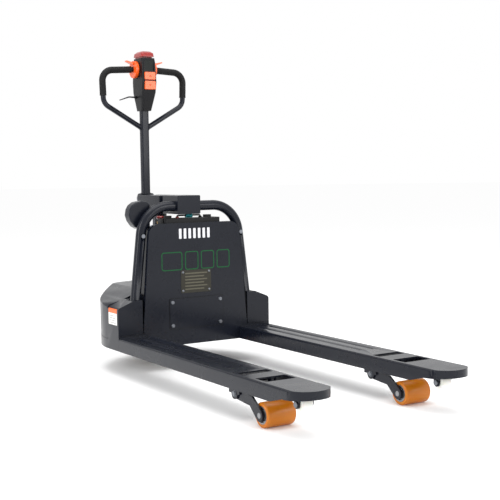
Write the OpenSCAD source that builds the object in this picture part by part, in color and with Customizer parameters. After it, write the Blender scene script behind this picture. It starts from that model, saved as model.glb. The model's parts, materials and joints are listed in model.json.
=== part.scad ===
// Electric pallet truck: forks and battery box that lift on a steered drive unit.
// Millimetres, +Z up, +X towards the fork tips, +Y to the operator's left.
// The origin is on the floor, at the middle of the whole truck's plan outline.

/* [Forks] */
// Length of the forks, from the load face to the tips
fork_length = 1220; // [950:10:1500]
// Width over both forks
fork_spread = 685; // [560:5:830]
// Width of one fork
fork_width = 144; // [140:2:176]
// Depth of a fork's side
fork_depth = 50; // [46:1:60]
// Steel thickness of the forks
fork_wall = 5; // [4:0.5:6]
// Height of the fork tops above the floor, as modelled
fork_top = 149; // [135:1:165]
// Corner radius of a fork tip, seen from above
tip_radius = 69; // [40:1:69]

/* [Load rollers] */
// Diameter of a load roller
roller_d = 80; // [66:1:84]
// Width of a load roller
roller_w = 104; // [84:1:106]
// Distance of the load arm's pivot behind the fork tip
arm_pivot_from_tip = 368; // [320:1:420]
// Length of the load arm, pivot to roller
arm_length = 142; // [120:1:170]
// Diameter of the entry roller in each fork tip
entry_d = 48; // [40:1:52]

/* [Battery box and guard] */
// Height of the front panel, above the underside of the forks
panel_rise = 483; // [400:1:580]
// Half width of the front panel at its foot
panel_foot = 235; // [200:1:250]
// Half width of the front panel at its top
panel_head = 205; // [180:1:220]
// Depth of the battery box behind the load face
box_depth = 92; // [80:1:110]
// Height that the battery stands above the front panel
battery_rise = 18; // [8:1:24]
// Diameter of the guard hoop's tube
hoop_d = 40; // [30:1:42]

/* [Rear cover] */
// Height of the cover's side, above the underside of the forks
cover_side_h = 164; // [120:1:190]
// Thickness of the moulded cover
cover_wall = 4; // [3:0.5:6]

/* [Drive unit] */
// Distance of the steering axis behind the load face
steer_back = 310; // [300:1:330]
// Diameter of the drive wheel
drive_wheel_d = 210; // [180:1:214]
// Width of the drive wheel
drive_wheel_w = 70; // [56:1:72]
// Outer diameter of the lift cylinder
cylinder_d = 60; // [52:1:66]
// Diameter of the lift rod
rod_d = 36; // [28:1:40]

/* [Tiller] */
// Distance of the tiller behind the load face
tiller_back = 438; // [430:1:450]
// Height of the tiller's hinge pin
hinge_height = 672; // [660:1:690]
// Height of the handlebar's centre line
bar_height = 1221; // [1100:1:1350]
// Half width of the handle loop, to the tube's centre
loop_half = 191; // [165:1:215]
// Diameter of the handle tube
loop_d = 22; // [18:1:24]
// Width of the tiller shaft
shaft_w = 36; // [30:1:38]
// Depth of the tiller shaft
shaft_d = 26; // [22:1:30]

/* [Hidden] */
$fn = 64;

// Colours
charcoal = [0.19, 0.20, 0.23];
black_plastic = [0.07, 0.07, 0.08];
safety_orange = [0.95, 0.42, 0.12];
amber = [0.88, 0.55, 0.10];
zinc = [0.75, 0.76, 0.78];
steel = [0.55, 0.56, 0.58];

// Fits and gaps
run_fit = 0.05;
gap = 1;
head_rear_reach = 42;
collar_gap = 0.6;
collar_half = 1.5;
collar_rise = 0.15;

// Where the load face lies, so that the plan outline is centred on the origin
face_x = (tiller_back + head_rear_reach - fork_length) / 2;

// Forks
base_z = fork_top - fork_depth;
fork_y = (fork_spread - fork_width) / 2;
edge_r = 7;
channel_w = fork_width - 2 * fork_wall;
roof_z = fork_top - fork_wall;
nose_length = 158;
nose_rise = 20;

// Load arms: the pivot under the fork and the roller at the arm's end
pivot_x = fork_length - arm_pivot_from_tip;
pivot_z = base_z - 13;
roller_z = roller_d / 2;
arm_angle = asin((pivot_z - roller_z) / arm_length);
roller_x = pivot_x + arm_length * cos(arm_angle);
pivot_pin_d = 20;
ear_t = 4.8;
arm_t = 8;
ear_y = channel_w / 2 - ear_t;
arm_y = roller_w / 2 + gap + 0.4;
lug_rise = 34;
lug_d = 14;
rod_z = pivot_z + lug_rise;
lug_x = pivot_x - 5;
hub_d = 44;
journal_d = 18;
entry_w = 40;
entry_x = fork_length - 82;
entry_z = base_z - 1;
entry_pin_d = 12;

// Torsion shaft behind the load face
shaft_x = -45;
shaft_z = rod_z + lug_rise;
shaft_r = 15;
anchor_reach = 132;
anchor_x = shaft_x - anchor_reach;
anchor_y = 60;
rocker_t = 12;
rocker_pin_r = 6;

// Carriage and battery box
plate_t = 6;
beam_t = 10;
beam_h = 58;
frame_h = 78;
end_plate_y = fork_spread / 2 - cover_wall - gap - plate_t;
panel_z0 = base_z + beam_h;
panel_z1 = base_z + panel_rise;
sheet_t = 3;
lip = 16;
panel_corner_r = 45;
box_inset = 14;
box_floor_z = base_z + 115;
box_top_z = panel_z1 - 22;
battery_half = 127;

// Guard hoop, in the plane behind the panel's lip
hoop_r = hoop_d / 2;
hoop_x = -lip - 2 - hoop_r;
hoop_bend = 119;
hoop_top_z = panel_z1 + 86;
hoop_lean = 6.7;
hoop_foot_z = base_z + frame_h + 6;
housing_front = 8;
housing_back = 136;
housing_right = 72;
housing_left = 30;
housing_drop = 52;
housing_h = 74;
housing_wall = 3;

// Rear cover
cover_half = fork_spread / 2;
cover_mid_x = -96;
cover_notch = panel_foot + 3;
cover_side_z = base_z + cover_side_h;

// Drive unit
steer_x = -steer_back;
axle_z = drive_wheel_d / 2;
table_z = drive_wheel_d + 12;
table_t = 12;
bracket_z = table_z + table_t + 2;
bracket_t = 12;
// Travel of the lift body below its modelled height
lower_travel = 65;
// Cover rises just enough to pass over the drive bracket when fully lowered
hump = max(40, bracket_z + bracket_t + lower_travel - cover_side_z + cover_wall + 6);
race_r = 84;
bore_r = 70;
motor_r = 75;
motor_z = bracket_z + bracket_t + 4;
motor_h = 168;
ram_x = -150;
ram_top_z = 430;
yoke_z = 520;
yoke_t = 15;
pump_r = 44;
block_front = 200;
block_half = 55;
block_z0 = 610;
lid_z0 = 643;
lid_z1 = 688;
column_r = 30;

// Tiller
tiller_x = -tiller_back;
ear_in = shaft_w / 2 + 4;
ear_out = ear_in + 10;
crank = 26;
head_z0 = bar_height - 175;
head_z1 = bar_height + 68;
split_x = tiller_x + 6;
head_half = 33;
face_out = 64;
throttle_r = 36;
throttle_gap = 0.6;
throttle_wall = 3.4;
grip_r = 14.5;
loop_low_z = bar_height - 146;
weld_z = bar_height - 246;
level_half = head_half + 17;
level_bend = 250;
loop_bend = 46;
bar_droop = 8;
lever_pin_y = -28.5;
lever_z = bar_height - 117;

// ---------------------------------------------------------------- helpers

// Puts a piece that is drawn from the load face into the row's frame.
module in_frame() {
    translate([face_x, 0, 0]) children();
}

// Turns a drawing in (Y, Z) into a solid that runs along +X.
module along_x(length) {
    rotate([90, 0, 90]) linear_extrude(length) children();
}

// Turns a drawing in (X, Z) into a solid centred on Y.
module across_y(width) {
    rotate([90, 0, 0]) linear_extrude(width, center = true) children();
}

// A cylinder along Y, centred on the given point.
module pin_y(x, y, z, r, length) {
    translate([x, y, z]) rotate([90, 0, 0]) cylinder(h = length, r = r, center = true);
}

// A cylinder along +X from the given point.
module pin_x(x, y, z, r, length) {
    translate([x, y, z]) rotate([0, 90, 0]) cylinder(h = length, r = r);
}

// A rectangle with four round corners.
module round_rect(x0, y0, x1, y1, r) {
    translate([x0 + r, y0]) square([x1 - x0 - 2 * r, y1 - y0]);
    translate([x0, y0 + r]) square([x1 - x0, y1 - y0 - 2 * r]);
    for (x = [x0 + r, x1 - r], y = [y0 + r, y1 - r]) translate([x, y]) circle(r);
}

function turn(a, b) = atan2(a[0] * b[1] - a[1] * b[0], a * b);
function unit(v) = v / norm(v);

// A round bar along a flat path in (X, Y). bends gives the bend radius at each inner point.
// A thin collar at each end of a bend ties the straight lengths to the bends.
module bent_bar(path, bends, r) {
    last = len(path) - 1;
    dirs = [for (i = [0:last - 1]) unit(path[i + 1] - path[i])];
    cuts = [for (i = [0:last])
        i == 0 || i == last ? 0 : bends[i - 1] * tan(abs(turn(dirs[i - 1], dirs[i])) / 2)];
    for (i = [0:last - 1]) {
        from = path[i] + dirs[i] * (i == 0 ? 0 : cuts[i] + collar_gap);
        to = path[i + 1] - dirs[i] * (i == last - 1 ? 0 : cuts[i + 1] + collar_gap);
        bar_between(from, to, r);
    }
    for (i = [1:last - 1]) {
        angle = turn(dirs[i - 1], dirs[i]);
        before = path[i] - dirs[i - 1] * cuts[i];
        after = path[i] + dirs[i] * cuts[i];
        normal = [-dirs[i - 1][1], dirs[i - 1][0]] * sign(angle);
        bend = bends[i - 1];
        centre = before + normal * bend;
        start = atan2(-normal[1], -normal[0]) + min(angle, 0);
        translate([centre[0], centre[1], 0]) rotate([0, 0, start])
            rotate_extrude(angle = abs(angle)) translate([bend, 0]) circle(r);
        bar_between(before - dirs[i - 1] * collar_half, before + dirs[i - 1] * collar_half, r + collar_rise);
        bar_between(after - dirs[i] * collar_half, after + dirs[i] * collar_half, r + collar_rise);
    }
}

// A straight round bar between two points in the (X, Y) plane.
module bar_between(from, to, r) {
    run = to - from;
    translate([from[0], from[1], 0]) rotate([0, 90, atan2(run[1], run[0])]) cylinder(h = norm(run), r = r);
}

// ---------------------------------------------------------------- forks

// Cross section of a fork, with its long edges rounded.
module fork_section() {
    half = fork_width / 2;
    translate([-half, 0]) square([fork_width, fork_depth - edge_r]);
    translate([-half + edge_r, 0]) square([fork_width - 2 * edge_r, fork_depth]);
    for (s = [-1, 1]) translate([s * (half - edge_r), fork_depth - edge_r]) circle(edge_r);
}

// Plan of a fork that is smaller than the real one by the given inset.
module fork_plan(inset) {
    half = fork_width / 2 - inset;
    tip = fork_length - inset;
    r = tip_radius - inset;
    translate([0, -half]) square([tip - r, 2 * half]);
    translate([0, -half + r]) square([tip, 2 * (half - r)]);
    for (s = [-1, 1]) translate([tip - r, s * (half - r)]) circle(r);
}

// Side of a fork: the underside rises towards the tip.
module fork_side() {
    polygon([[0, 0], [fork_length - nose_length, 0], [fork_length - nose_length + 66, nose_rise - 2],
             [fork_length, nose_rise + 4], [fork_length, fork_depth], [0, fork_depth]]);
}

// Windows over the arm pivot and over the roller, for one fork.
module fork_windows() {
    half = roller_w / 2 + 3;
    window_x = round(roller_x);
    for (x = [[pivot_x - 4, pivot_x + 36], [window_x - 30, window_x + 34]])
        translate([0, 0, fork_depth - fork_wall - 1]) linear_extrude(fork_wall + 2)
            round_rect(x[0], -half, x[1], half, 5);
}

// Two pressed stiffening grooves along the top of one fork.
module fork_grooves() {
    groove_r = 12;
    for (s = [-1, 1]) {
        pin_x(70, s * 24, fork_depth + groove_r - 2.4, groove_r, pivot_x - 170);
    }
}

// Plates inside a fork that hold the arm's pin and the entry roller's pin.
module fork_ears() {
    for (s = [-1, 1]) {
        translate([0, s * (ear_y + ear_t / 2), 0]) difference() {
            across_y(ear_t) union() {
                translate([pivot_x, pivot_z - base_z]) circle(18);
                translate([pivot_x - 34, pivot_z - base_z]) square([64, roof_z - pivot_z]);
            }
            pin_y(pivot_x, 0, pivot_z - base_z, pivot_pin_d / 2, ear_t + 2);
        }
        translate([0, s * (entry_w / 2 + gap + 3), 0]) difference() {
            across_y(6) union() {
                translate([entry_x, entry_z - base_z]) circle(13);
                translate([entry_x - 13, entry_z - base_z]) square([26, roof_z - entry_z]);
            }
            pin_y(entry_x, 0, entry_z - base_z, entry_pin_d / 2, 8);
        }
    }
}

module fork(side) {
    in_frame() color(charcoal) translate([0, side * fork_y, base_z]) {
        difference() {
            intersection() {
                along_x(fork_length) fork_section();
                linear_extrude(fork_depth) fork_plan(0);
                across_y(fork_width + 2) fork_side();
            }
            translate([0, 0, -1]) intersection() {
                translate([-1, -channel_w / 2, 0]) cube([fork_length, channel_w, fork_depth - fork_wall + 1]);
                union() {
                    linear_extrude(fork_depth) fork_plan(fork_wall);
                    translate([-2, -channel_w / 2, 0]) cube([4, channel_w, fork_depth]);
                }
            }
            fork_windows();
            fork_grooves();
        }
        fork_ears();
    }
}

module left_fork() {
    fork(1);
}

module right_fork() {
    fork(-1);
}

// Pins that stay in the forks: the arm pivots and the entry rollers' pins.
module fork_pins() {
    in_frame() color(zinc) for (s = [-1, 1]) {
        pin_y(pivot_x, s * fork_y, pivot_z, pivot_pin_d / 2, channel_w);
        for (e = [-1, 1])
            pin_y(pivot_x, s * fork_y + e * (channel_w / 2 + 2), pivot_z, 8, 4);
        pin_y(entry_x, s * fork_y, entry_z, entry_pin_d / 2, entry_w + 2 * gap + 12);
        for (e = [-1, 1])
            pin_y(entry_x, s * fork_y + e * (entry_w / 2 + gap + 8), entry_z, 9, 4);
    }
}

// ---------------------------------------------------------------- load arms and rollers

// Outline of one arm plate, seen from the side, with the pivot at the drawing's origin.
module arm_outline() {
    hull() {
        circle(17);
        translate([lug_x - pivot_x, lug_rise]) circle(11);
    }
    hull() {
        circle(17);
        translate([0.66 * (roller_x - pivot_x), -0.2 * (pivot_z - roller_z)]) circle(16);
    }
    hull() {
        translate([0.66 * (roller_x - pivot_x), -0.2 * (pivot_z - roller_z)]) circle(16);
        translate([roller_x - pivot_x, roller_z - pivot_z]) circle(19);
    }
}

module load_arm(side) {
    in_frame() color(charcoal) translate([0, side * fork_y, 0]) {
        difference() {
            union() {
                for (s = [-1, 1])
                    translate([pivot_x, s * (arm_y + arm_t / 2), pivot_z]) across_y(arm_t) arm_outline();
                pin_y(pivot_x, 0, pivot_z, pivot_pin_d / 2 + 6, 2 * arm_y + 2);
                pin_y(lug_x, 0, rod_z, lug_d / 2, 2 * arm_y + 2);
            }
            pin_y(pivot_x, 0, pivot_z, pivot_pin_d / 2 + run_fit, fork_width);
            pin_y(roller_x, 0, roller_z, journal_d / 2 + run_fit, fork_width);
        }
    }
}

module left_load_arm() {
    load_arm(1);
}

module right_load_arm() {
    load_arm(-1);
}

// Moulded tread of a load roller, with bevelled edges.
module roller_tyre(side) {
    half = roller_w / 2;
    bevel = 4;
    in_frame() color(amber) translate([roller_x, side * fork_y, roller_z]) rotate([90, 0, 0])
        rotate_extrude($fn = 96)
        polygon([[hub_d / 2 + 6, -half], [roller_z - bevel, -half], [roller_z, -half + bevel],
                 [roller_z, half - bevel], [roller_z - bevel, half], [hub_d / 2 + 6, half]]);
}

// Steel hub of a load roller, with the journals that turn in the arm.
module roller_hub(side) {
    half = roller_w / 2;
    web_r = hub_d / 2 - 4;
    rim_r = hub_d / 2 + 1;
    seat_r = hub_d / 2 + 6;
    end = arm_y + arm_t;
    journal_r = journal_d / 2;
    in_frame() color(steel) translate([roller_x, side * fork_y, roller_z]) rotate([90, 0, 0])
        rotate_extrude($fn = 96)
            polygon([[0, -end], [journal_r, -end], [journal_r, -half + 2], [web_r, -half + 2],
                     [web_r, -half + 8], [rim_r, -half + 8], [rim_r, -half], [seat_r, -half],
                     [seat_r, half], [rim_r, half], [rim_r, half - 8], [web_r, half - 8],
                     [web_r, half - 2], [journal_r, half - 2], [journal_r, end], [0, end]]);
}

module left_roller_tyre() {
    roller_tyre(1);
}

module right_roller_tyre() {
    roller_tyre(-1);
}

module left_roller_hub() {
    roller_hub(1);
}

module right_roller_hub() {
    roller_hub(-1);
}

// Nylon roller in a fork tip.
module entry_roller(side) {
    r = entry_d / 2;
    half = entry_w / 2;
    bevel = 4;
    in_frame() color("white") translate([entry_x, side * fork_y, entry_z]) rotate([90, 0, 0]) rotate_extrude()
        polygon([[entry_pin_d / 2 + run_fit, -half], [r - bevel, -half], [r, -half + bevel],
                 [r, half - bevel], [r - bevel, half], [entry_pin_d / 2 + run_fit, half]]);
}

module left_entry_roller() {
    entry_roller(1);
}

module right_entry_roller() {
    entry_roller(-1);
}

// ---------------------------------------------------------------- lift linkage

// Slot along Z for a pin that moves a little up and down in a rod's end.
module pin_slot(x, z0, z1, r, width) {
    across_y(width) union() {
        translate([x - r, z0]) square([2 * r, z1 - z0]);
        for (z = [z0, z1]) translate([x, z]) circle(r);
    }
}

// Rod that pushes a load arm: a hook over the arm's lug, and a fork over the rocker's pin.
module push_rod(side) {
    slack = 1.6;
    in_frame() color(steel) translate([0, side * fork_y, 0]) difference() {
        union() {
            pin_x(shaft_x + 15, 0, rod_z, 9, lug_x - shaft_x - 35);
            translate([lug_x - 24, -10, rod_z - 16]) cube([40, 20, 32]);
            translate([shaft_x - 14, -20, rod_z - 14]) cube([35, 40, 28]);
        }
        pin_slot(lug_x, rod_z - 30, rod_z, lug_d / 2 + slack, 24);
        // Room for the rocker, which leans forward when the forks are down
        across_y(rocker_t + 2 * gap)
            polygon([[shaft_x - 15, rod_z - 15], [shaft_x + 13, rod_z - 15], [shaft_x + 13, rod_z - 2],
                     [shaft_x + 30, rod_z + 15], [shaft_x - 15, rod_z + 15]]);
        pin_slot(shaft_x, rod_z - 1, rod_z + 6, rocker_pin_r + slack, 44);
    }
}

module left_push_rod() {
    push_rod(1);
}

module right_push_rod() {
    push_rod(-1);
}

// Cross shaft with two arms down to the push rods and two back to the drive unit.
module torsion_shaft() {
    slot_r = 13;
    in_frame() color(steel) {
        pin_y(shaft_x, 0, shaft_z, shaft_r, 2 * end_plate_y + plate_t);
        for (s = [-1, 1]) {
            translate([0, s * fork_y, 0]) {
                across_y(rocker_t) difference() {
                    hull() {
                        translate([shaft_x, shaft_z]) circle(20, $fn = 32);
                        translate([shaft_x, rod_z]) circle(11, $fn = 32);
                    }
                    translate([shaft_x, shaft_z]) circle(shaft_r);
                }
                pin_y(shaft_x, 0, rod_z, rocker_pin_r, 38);
            }
            translate([0, s * anchor_y, 0]) across_y(rocker_t) difference() {
                hull() {
                    translate([shaft_x, shaft_z]) circle(24, $fn = 32);
                    translate([anchor_x - 10, shaft_z]) circle(21, $fn = 32);
                }
                translate([shaft_x, shaft_z]) circle(shaft_r);
                translate([anchor_x - 34, shaft_z - slot_r]) square([42, 2 * slot_r]);
                translate([anchor_x + 8, shaft_z]) circle(slot_r);
            }
        }
    }
}

// ---------------------------------------------------------------- carriage and battery box

// Welded frame behind the forks: a front beam and four plates that hold the torsion shaft.
module carriage_frame() {
    inner_y = fork_y - fork_width / 2;
    in_frame() color(charcoal) {
        difference() {
            translate([-beam_t, -end_plate_y - plate_t, base_z])
                cube([beam_t, 2 * (end_plate_y + plate_t), beam_h]);
            for (s = [-1, 1]) pin_x(-beam_t - 1, s * fork_y, rod_z, 14, beam_t + 2);
        }
        for (s = [-1, 1]) {
            for (y = [inner_y, end_plate_y]) difference() {
                translate([-116, s * y - (s < 0 ? plate_t : 0), base_z])
                    cube([116 - beam_t, plate_t, frame_h]);
                pin_y(shaft_x, s * (y + plate_t / 2), shaft_z, shaft_r + run_fit, plate_t + 2);
            }
            translate([-80, s > 0 ? inner_y : -end_plate_y - plate_t, base_z + frame_h])
                cube([62, end_plate_y + plate_t - inner_y, 6]);
        }
    }
}

// Outline of the front panel in (Y, Z), smaller all round by the given inset.
module panel_outline(inset) {
    top_r = panel_corner_r - inset;
    foot_r = 6;
    hull() for (s = [-1, 1]) {
        translate([s * (panel_head - inset - top_r), panel_z1 - inset - top_r]) circle(top_r, $fn = 64);
        translate([s * (panel_foot - inset - foot_r), panel_z0 + foot_r]) circle(foot_r, $fn = 32);
    }
}

// Folded sheet that faces the load.
module front_panel() {
    in_frame() color(charcoal) difference() {
        translate([-lip, 0, 0]) along_x(lip) panel_outline(0);
        translate([-lip - 1, 0, 0]) along_x(lip + 1 - sheet_t) panel_outline(sheet_t);
        translate([-lip - 1, -panel_foot, panel_z0 - 1])
            cube([lip + 1 - sheet_t, 2 * panel_foot, sheet_t + 3]);
    }
}

function box_half(z) = panel_foot - box_inset
    + (panel_head - panel_foot) * (z - panel_z0) / (panel_z1 - panel_z0);

// Section of the battery box in (Y, Z), smaller all round by the given inset.
module box_section(inset, rise) {
    z0 = box_floor_z + inset;
    z1 = box_top_z + rise;
    polygon([[-box_half(z0) + inset, z0], [box_half(z0) - inset, z0],
             [box_half(z1) - inset, z1], [-box_half(z1) + inset, z1]]);
}

// Steel box that holds the battery, open at the top and closed in front by the panel.
module battery_box() {
    in_frame() color(charcoal) difference() {
        translate([-box_depth, 0, 0]) along_x(box_depth - sheet_t) box_section(0, 0);
        translate([-box_depth + plate_t - 2, 0, 0]) along_x(box_depth) box_section(4, 10);
    }
}

module battery() {
    top_z = panel_z1 + battery_rise;
    lid_h = 34;
    in_frame() {
        color(black_plastic) translate([-box_depth + 8, 0, box_floor_z + 4]) {
            translate([0, -battery_half + 4, 0])
                cube([box_depth - 26, 2 * battery_half - 8, top_z - lid_h - box_floor_z - 4]);
            translate([0, 0, top_z - lid_h - box_floor_z - 4]) linear_extrude(lid_h)
                round_rect(0, -battery_half, box_depth - 26, battery_half, 10);
        }
        color(black_plastic) for (y = [-90, 90])
            translate([-box_depth + 20, y - 14, top_z]) cube([18, 28, 10]);
    }
}

module access_cover() {
    in_frame() color(charcoal) difference() {
        along_x(2.5) round_rect(-120, base_z + 67, 120, base_z + 185, 6);
        for (y = [-108, 108], z = [79, 171]) pin_x(-1, y, base_z + z, 4.2, 5);
    }
}

module rating_plate() {
    in_frame() color([0.35, 0.32, 0.28]) along_x(1.5) round_rect(-68, base_z + 205, 68, base_z + 296, 4);
}

// Bolt heads on the cover, rivets on the plate, and the guard hoop's bolts.
module panel_fasteners() {
    in_frame() color(zinc) {
        for (y = [-108, 108], z = [79, 171]) {
            pin_x(0, y, base_z + z, 4, 2.5);
            translate([2.5, y, base_z + z]) rotate([0, 90, 0]) cylinder(h = 4, r1 = 8, r2 = 6.5);
        }
        for (y = [-59, 59], z = [214, 287])
            translate([1.5, y, base_z + z]) rotate([0, 90, 0]) cylinder(h = 2.4, r1 = 5, r2 = 3.4);
        for (s = [-1, 1]) translate([hoop_x + hoop_r - 1.5, s * hoop_y(panel_z1 - 46), panel_z1 - 46])
            rotate([0, 90, 0]) cylinder(h = 7, r = 8);
    }
}

// Half width of the hoop's centre line at a height on its straight leg.
hoop_mid_y = panel_head - 103;
hoop_mid_z = hoop_top_z - hoop_r - hoop_bend;
function hoop_y(z) = hoop_mid_y + hoop_bend * cos(hoop_lean)
    + (hoop_mid_z + hoop_bend * sin(hoop_lean) - z) * tan(hoop_lean);

// Centre line of the hoop in (Y, Z): two leaning legs and a flat top.
function hoop_path(foot) = let (
        top = hoop_mid_z + hoop_bend,
        knee_y = hoop_y(top)
    ) [[-hoop_y(foot), foot], [-knee_y, top], [knee_y, top], [hoop_y(foot), foot]];

module guard_hoop() {
    in_frame() color(charcoal) difference() {
        union() {
            translate([hoop_x, 0, 0]) rotate([90, 0, 90])
                bent_bar(hoop_path(hoop_foot_z + 3), [hoop_bend, hoop_bend], hoop_r);
            for (s = [-1, 1]) translate([hoop_x - hoop_r, s * hoop_y(hoop_foot_z) - 34, hoop_foot_z])
                cube([2 * hoop_r, 68, 6]);
        }
        translate([hoop_x, 0, 0]) rotate([90, 0, 90])
            bent_bar(hoop_path(hoop_foot_z - 2), [hoop_bend, hoop_bend], hoop_r - 2.5);
        for (s = [-1, 1]) translate([hoop_x + hoop_r - 1.5, s * hoop_y(panel_z1 - 46), panel_z1 - 46])
            rotate([0, 90, 0]) cylinder(h = 9, r = 8);
    }
}

// ---------------------------------------------------------------- rear cover

// Solid shape of the cover, smaller by the given inset except beside the battery box.
module cover_shape(inset, z0) {
    half = cover_half - inset;
    side_z = cover_side_z - inset;
    back = inset > 0 ? inset + 1 : 0;
    // Front wings beside the battery box
    intersection() {
        translate([cover_mid_x - back, 0, 0]) along_x(-cover_mid_x + back - inset)
            polygon([[-half, z0], [half, z0], [half, side_z - 6], [half - 6, side_z + 2],
                     [half - 66, side_z + 26], [cover_notch - 40, side_z + 28],
                     [-cover_notch + 40, side_z + 28], [-half + 66, side_z + 26],
                     [-half + 6, side_z + 2], [-half, side_z - 6]]);
        difference() {
            translate([cover_mid_x - back, -half, z0]) cube([-cover_mid_x + back, 2 * half, 400]);
            translate([cover_mid_x - back - 1, -cover_notch + back, z0 - 1])
                cube([-cover_mid_x + back + 2, 2 * (cover_notch - back), 500]);
        }
    }
    // Round rear part, highest in the middle
    intersection() {
        translate([cover_mid_x, 0, z0]) cylinder(h = 500, r = half, $fn = 128);
        translate([cover_mid_x - half - 1, 0, 0]) along_x(half + 1 - inset)
            polygon([[-half, z0], [half, z0], [half, side_z], [half - 8, side_z + 8], [half - 66, side_z + 24],
                     [half - 152, side_z + hump - 2], [half - 200, side_z + hump], [-half + 200, side_z + hump],
                     [-half + 152, side_z + hump - 2], [-half + 66, side_z + 24],
                     [-half + 8, side_z + 8], [-half, side_z]]);
        across_y(2 * half + 2)
            polygon([[cover_mid_x - half, z0], [cover_mid_x, z0], [cover_mid_x, side_z + hump],
                     [cover_mid_x - half + 110, side_z + hump], [cover_mid_x - half, side_z + hump - 2]]);
    }
}

module body_cover() {
    strip = 3;
    in_frame() color(charcoal) difference() {
        cover_shape(0, base_z);
        cover_shape(cover_wall, base_z - 1);
        // Openings for the battery box, the lift ram and the steering column
        translate([cover_mid_x - 14, -cover_notch + 4, base_z - 1]) cube([15, 2 * cover_notch - 8, 400]);
        translate([-beam_t - gap, -end_plate_y - plate_t - gap, base_z - 1])
            cube([beam_t + gap + 1, 2 * (end_plate_y + plate_t + gap), beam_h + gap + 1]);
        translate([steer_x, 0, cover_side_z]) cylinder(h = 200, r = motor_r + 10);
        translate([steer_x, -50, cover_side_z + 30]) cube([cover_mid_x - steer_x + 1, 100, 200]);
        for (s = [-1, 1])
            translate([hoop_x - hoop_r - 4, s * hoop_y(cover_side_z + 22) - hoop_r - 8, cover_side_z - 10])
                cube([hoop_d + 8, 2 * hoop_r + 16, 60]);
        // Grooved line above the skirt
        difference() {
            translate([cover_mid_x, 0, base_z + 38]) cylinder(h = strip, r = cover_half + 2, $fn = 128);
            translate([cover_mid_x, 0, base_z + 37]) cylinder(h = strip + 2, r = cover_half - 1.5, $fn = 128);
            translate([cover_mid_x, -400, base_z + 30]) cube([400, 800, 20]);
        }
    }
}

// Shelf on the back of the battery box for the stop switch and the hydraulic line.
module console_plate() {
    in_frame() color(charcoal) difference() {
        translate([-136, -150, panel_z1 - 34]) cube([136 - box_depth, 300, 6]);
        translate([-112, -95, panel_z1 - 40]) cylinder(h = 20, r = 9);
    }
}

module stop_base() {
    z0 = panel_z1 - 28;
    in_frame() color([0.85, 0.7, 0.1]) difference() {
        union() {
            translate([-112, -95, z0]) cylinder(h = 32, r = 15);
            translate([-112, -95, z0 - 20]) cylinder(h = 20, r = 9);
        }
        translate([-112, -95, z0 + 6]) cylinder(h = 30, r = 5.05);
    }
}

module stop_knob() {
    z0 = panel_z1 + 12;
    in_frame() color([0.75, 0.05, 0.06]) translate([-112, -95, z0]) {
        translate([0, 0, -20]) cylinder(h = 22, r = 5);
        rotate_extrude() polygon([[0, 0], [13, 0], [17, 4], [17, 10], [13, 14], [0, 15]]);
    }
}

// Housing for the key switch and the charging socket, clamped round the hoop's top bar.
module switch_housing() {
    z0 = hoop_top_z - housing_drop;
    in_frame() color(charcoal) difference() {
        translate([-housing_back, 0, 0]) along_x(housing_back - housing_front)
            round_rect(-housing_right, z0, housing_left, z0 + housing_h, 5);
        // Hollow, and open underneath
        translate([-housing_back + housing_wall, -housing_right + housing_wall, z0 - 1])
            cube([housing_back - housing_front - 2 * housing_wall,
                  housing_left + housing_right - 2 * housing_wall, housing_h - housing_wall + 1]);
        pin_y(hoop_x, (housing_left - housing_right) / 2, hoop_top_z - hoop_r, hoop_r + run_fit,
              housing_left + housing_right + 2);
    }
}

// Built-in charger in a rounded case behind the hoop's right leg.
module charger_pod() {
    z0 = panel_z1 - 20;
    in_frame() color([0.24, 0.25, 0.28]) {
        translate([-108, 0, 0]) along_x(44)
            polygon([[-165, z0], [-216, z0], [-234, z0 + 10], [-250, z0 + 32], [-257, z0 + 54], [-253, z0 + 78],
                     [-243, z0 + 94], [-226, z0 + 105], [-200, z0 + 110], [-176, z0 + 106], [-165, z0 + 96]]);
        translate([-108, -188, z0 - 34]) cube([16, 36, 34]);
    }
}

// Bright bent pipe from the shelf to the ram's valve.
module hydraulic_line() {
    z0 = panel_z1 - 28;
    in_frame() color(zinc) translate([-112, 0, 0]) rotate([90, 0, 90])
        bent_bar([[-142, z0], [-142, z0 + 14], [-120, z0 + 14], [-120, z0 + 66]], [8, 8], 5);
}

// ---------------------------------------------------------------- hydraulics and drive frame

// Bracket on the back of the box that the ram pushes up.
module lift_yoke() {
    in_frame() color(charcoal) {
        translate([ram_x - 30, -40, yoke_z]) cube([-box_depth - ram_x + 30, 80, yoke_t]);
        for (y = [-36, 36]) translate([0, y, 0]) across_y(8)
            polygon([[-box_depth, yoke_z - 70], [-box_depth, yoke_z], [-box_depth - 26, yoke_z]]);
    }
}

module lift_rod() {
    in_frame() color(zinc) translate([ram_x, 0, 345]) cylinder(h = yoke_z - 345, r = rod_d / 2);
}

module lift_cylinder() {
    in_frame() color(charcoal) difference() {
        translate([ram_x, 0, bracket_z + bracket_t])
            cylinder(h = ram_top_z - bracket_z - bracket_t, r = cylinder_d / 2);
        translate([ram_x, 0, bracket_z + bracket_t + 10]) cylinder(h = 300, r = rod_d / 2 + run_fit);
    }
}

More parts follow.
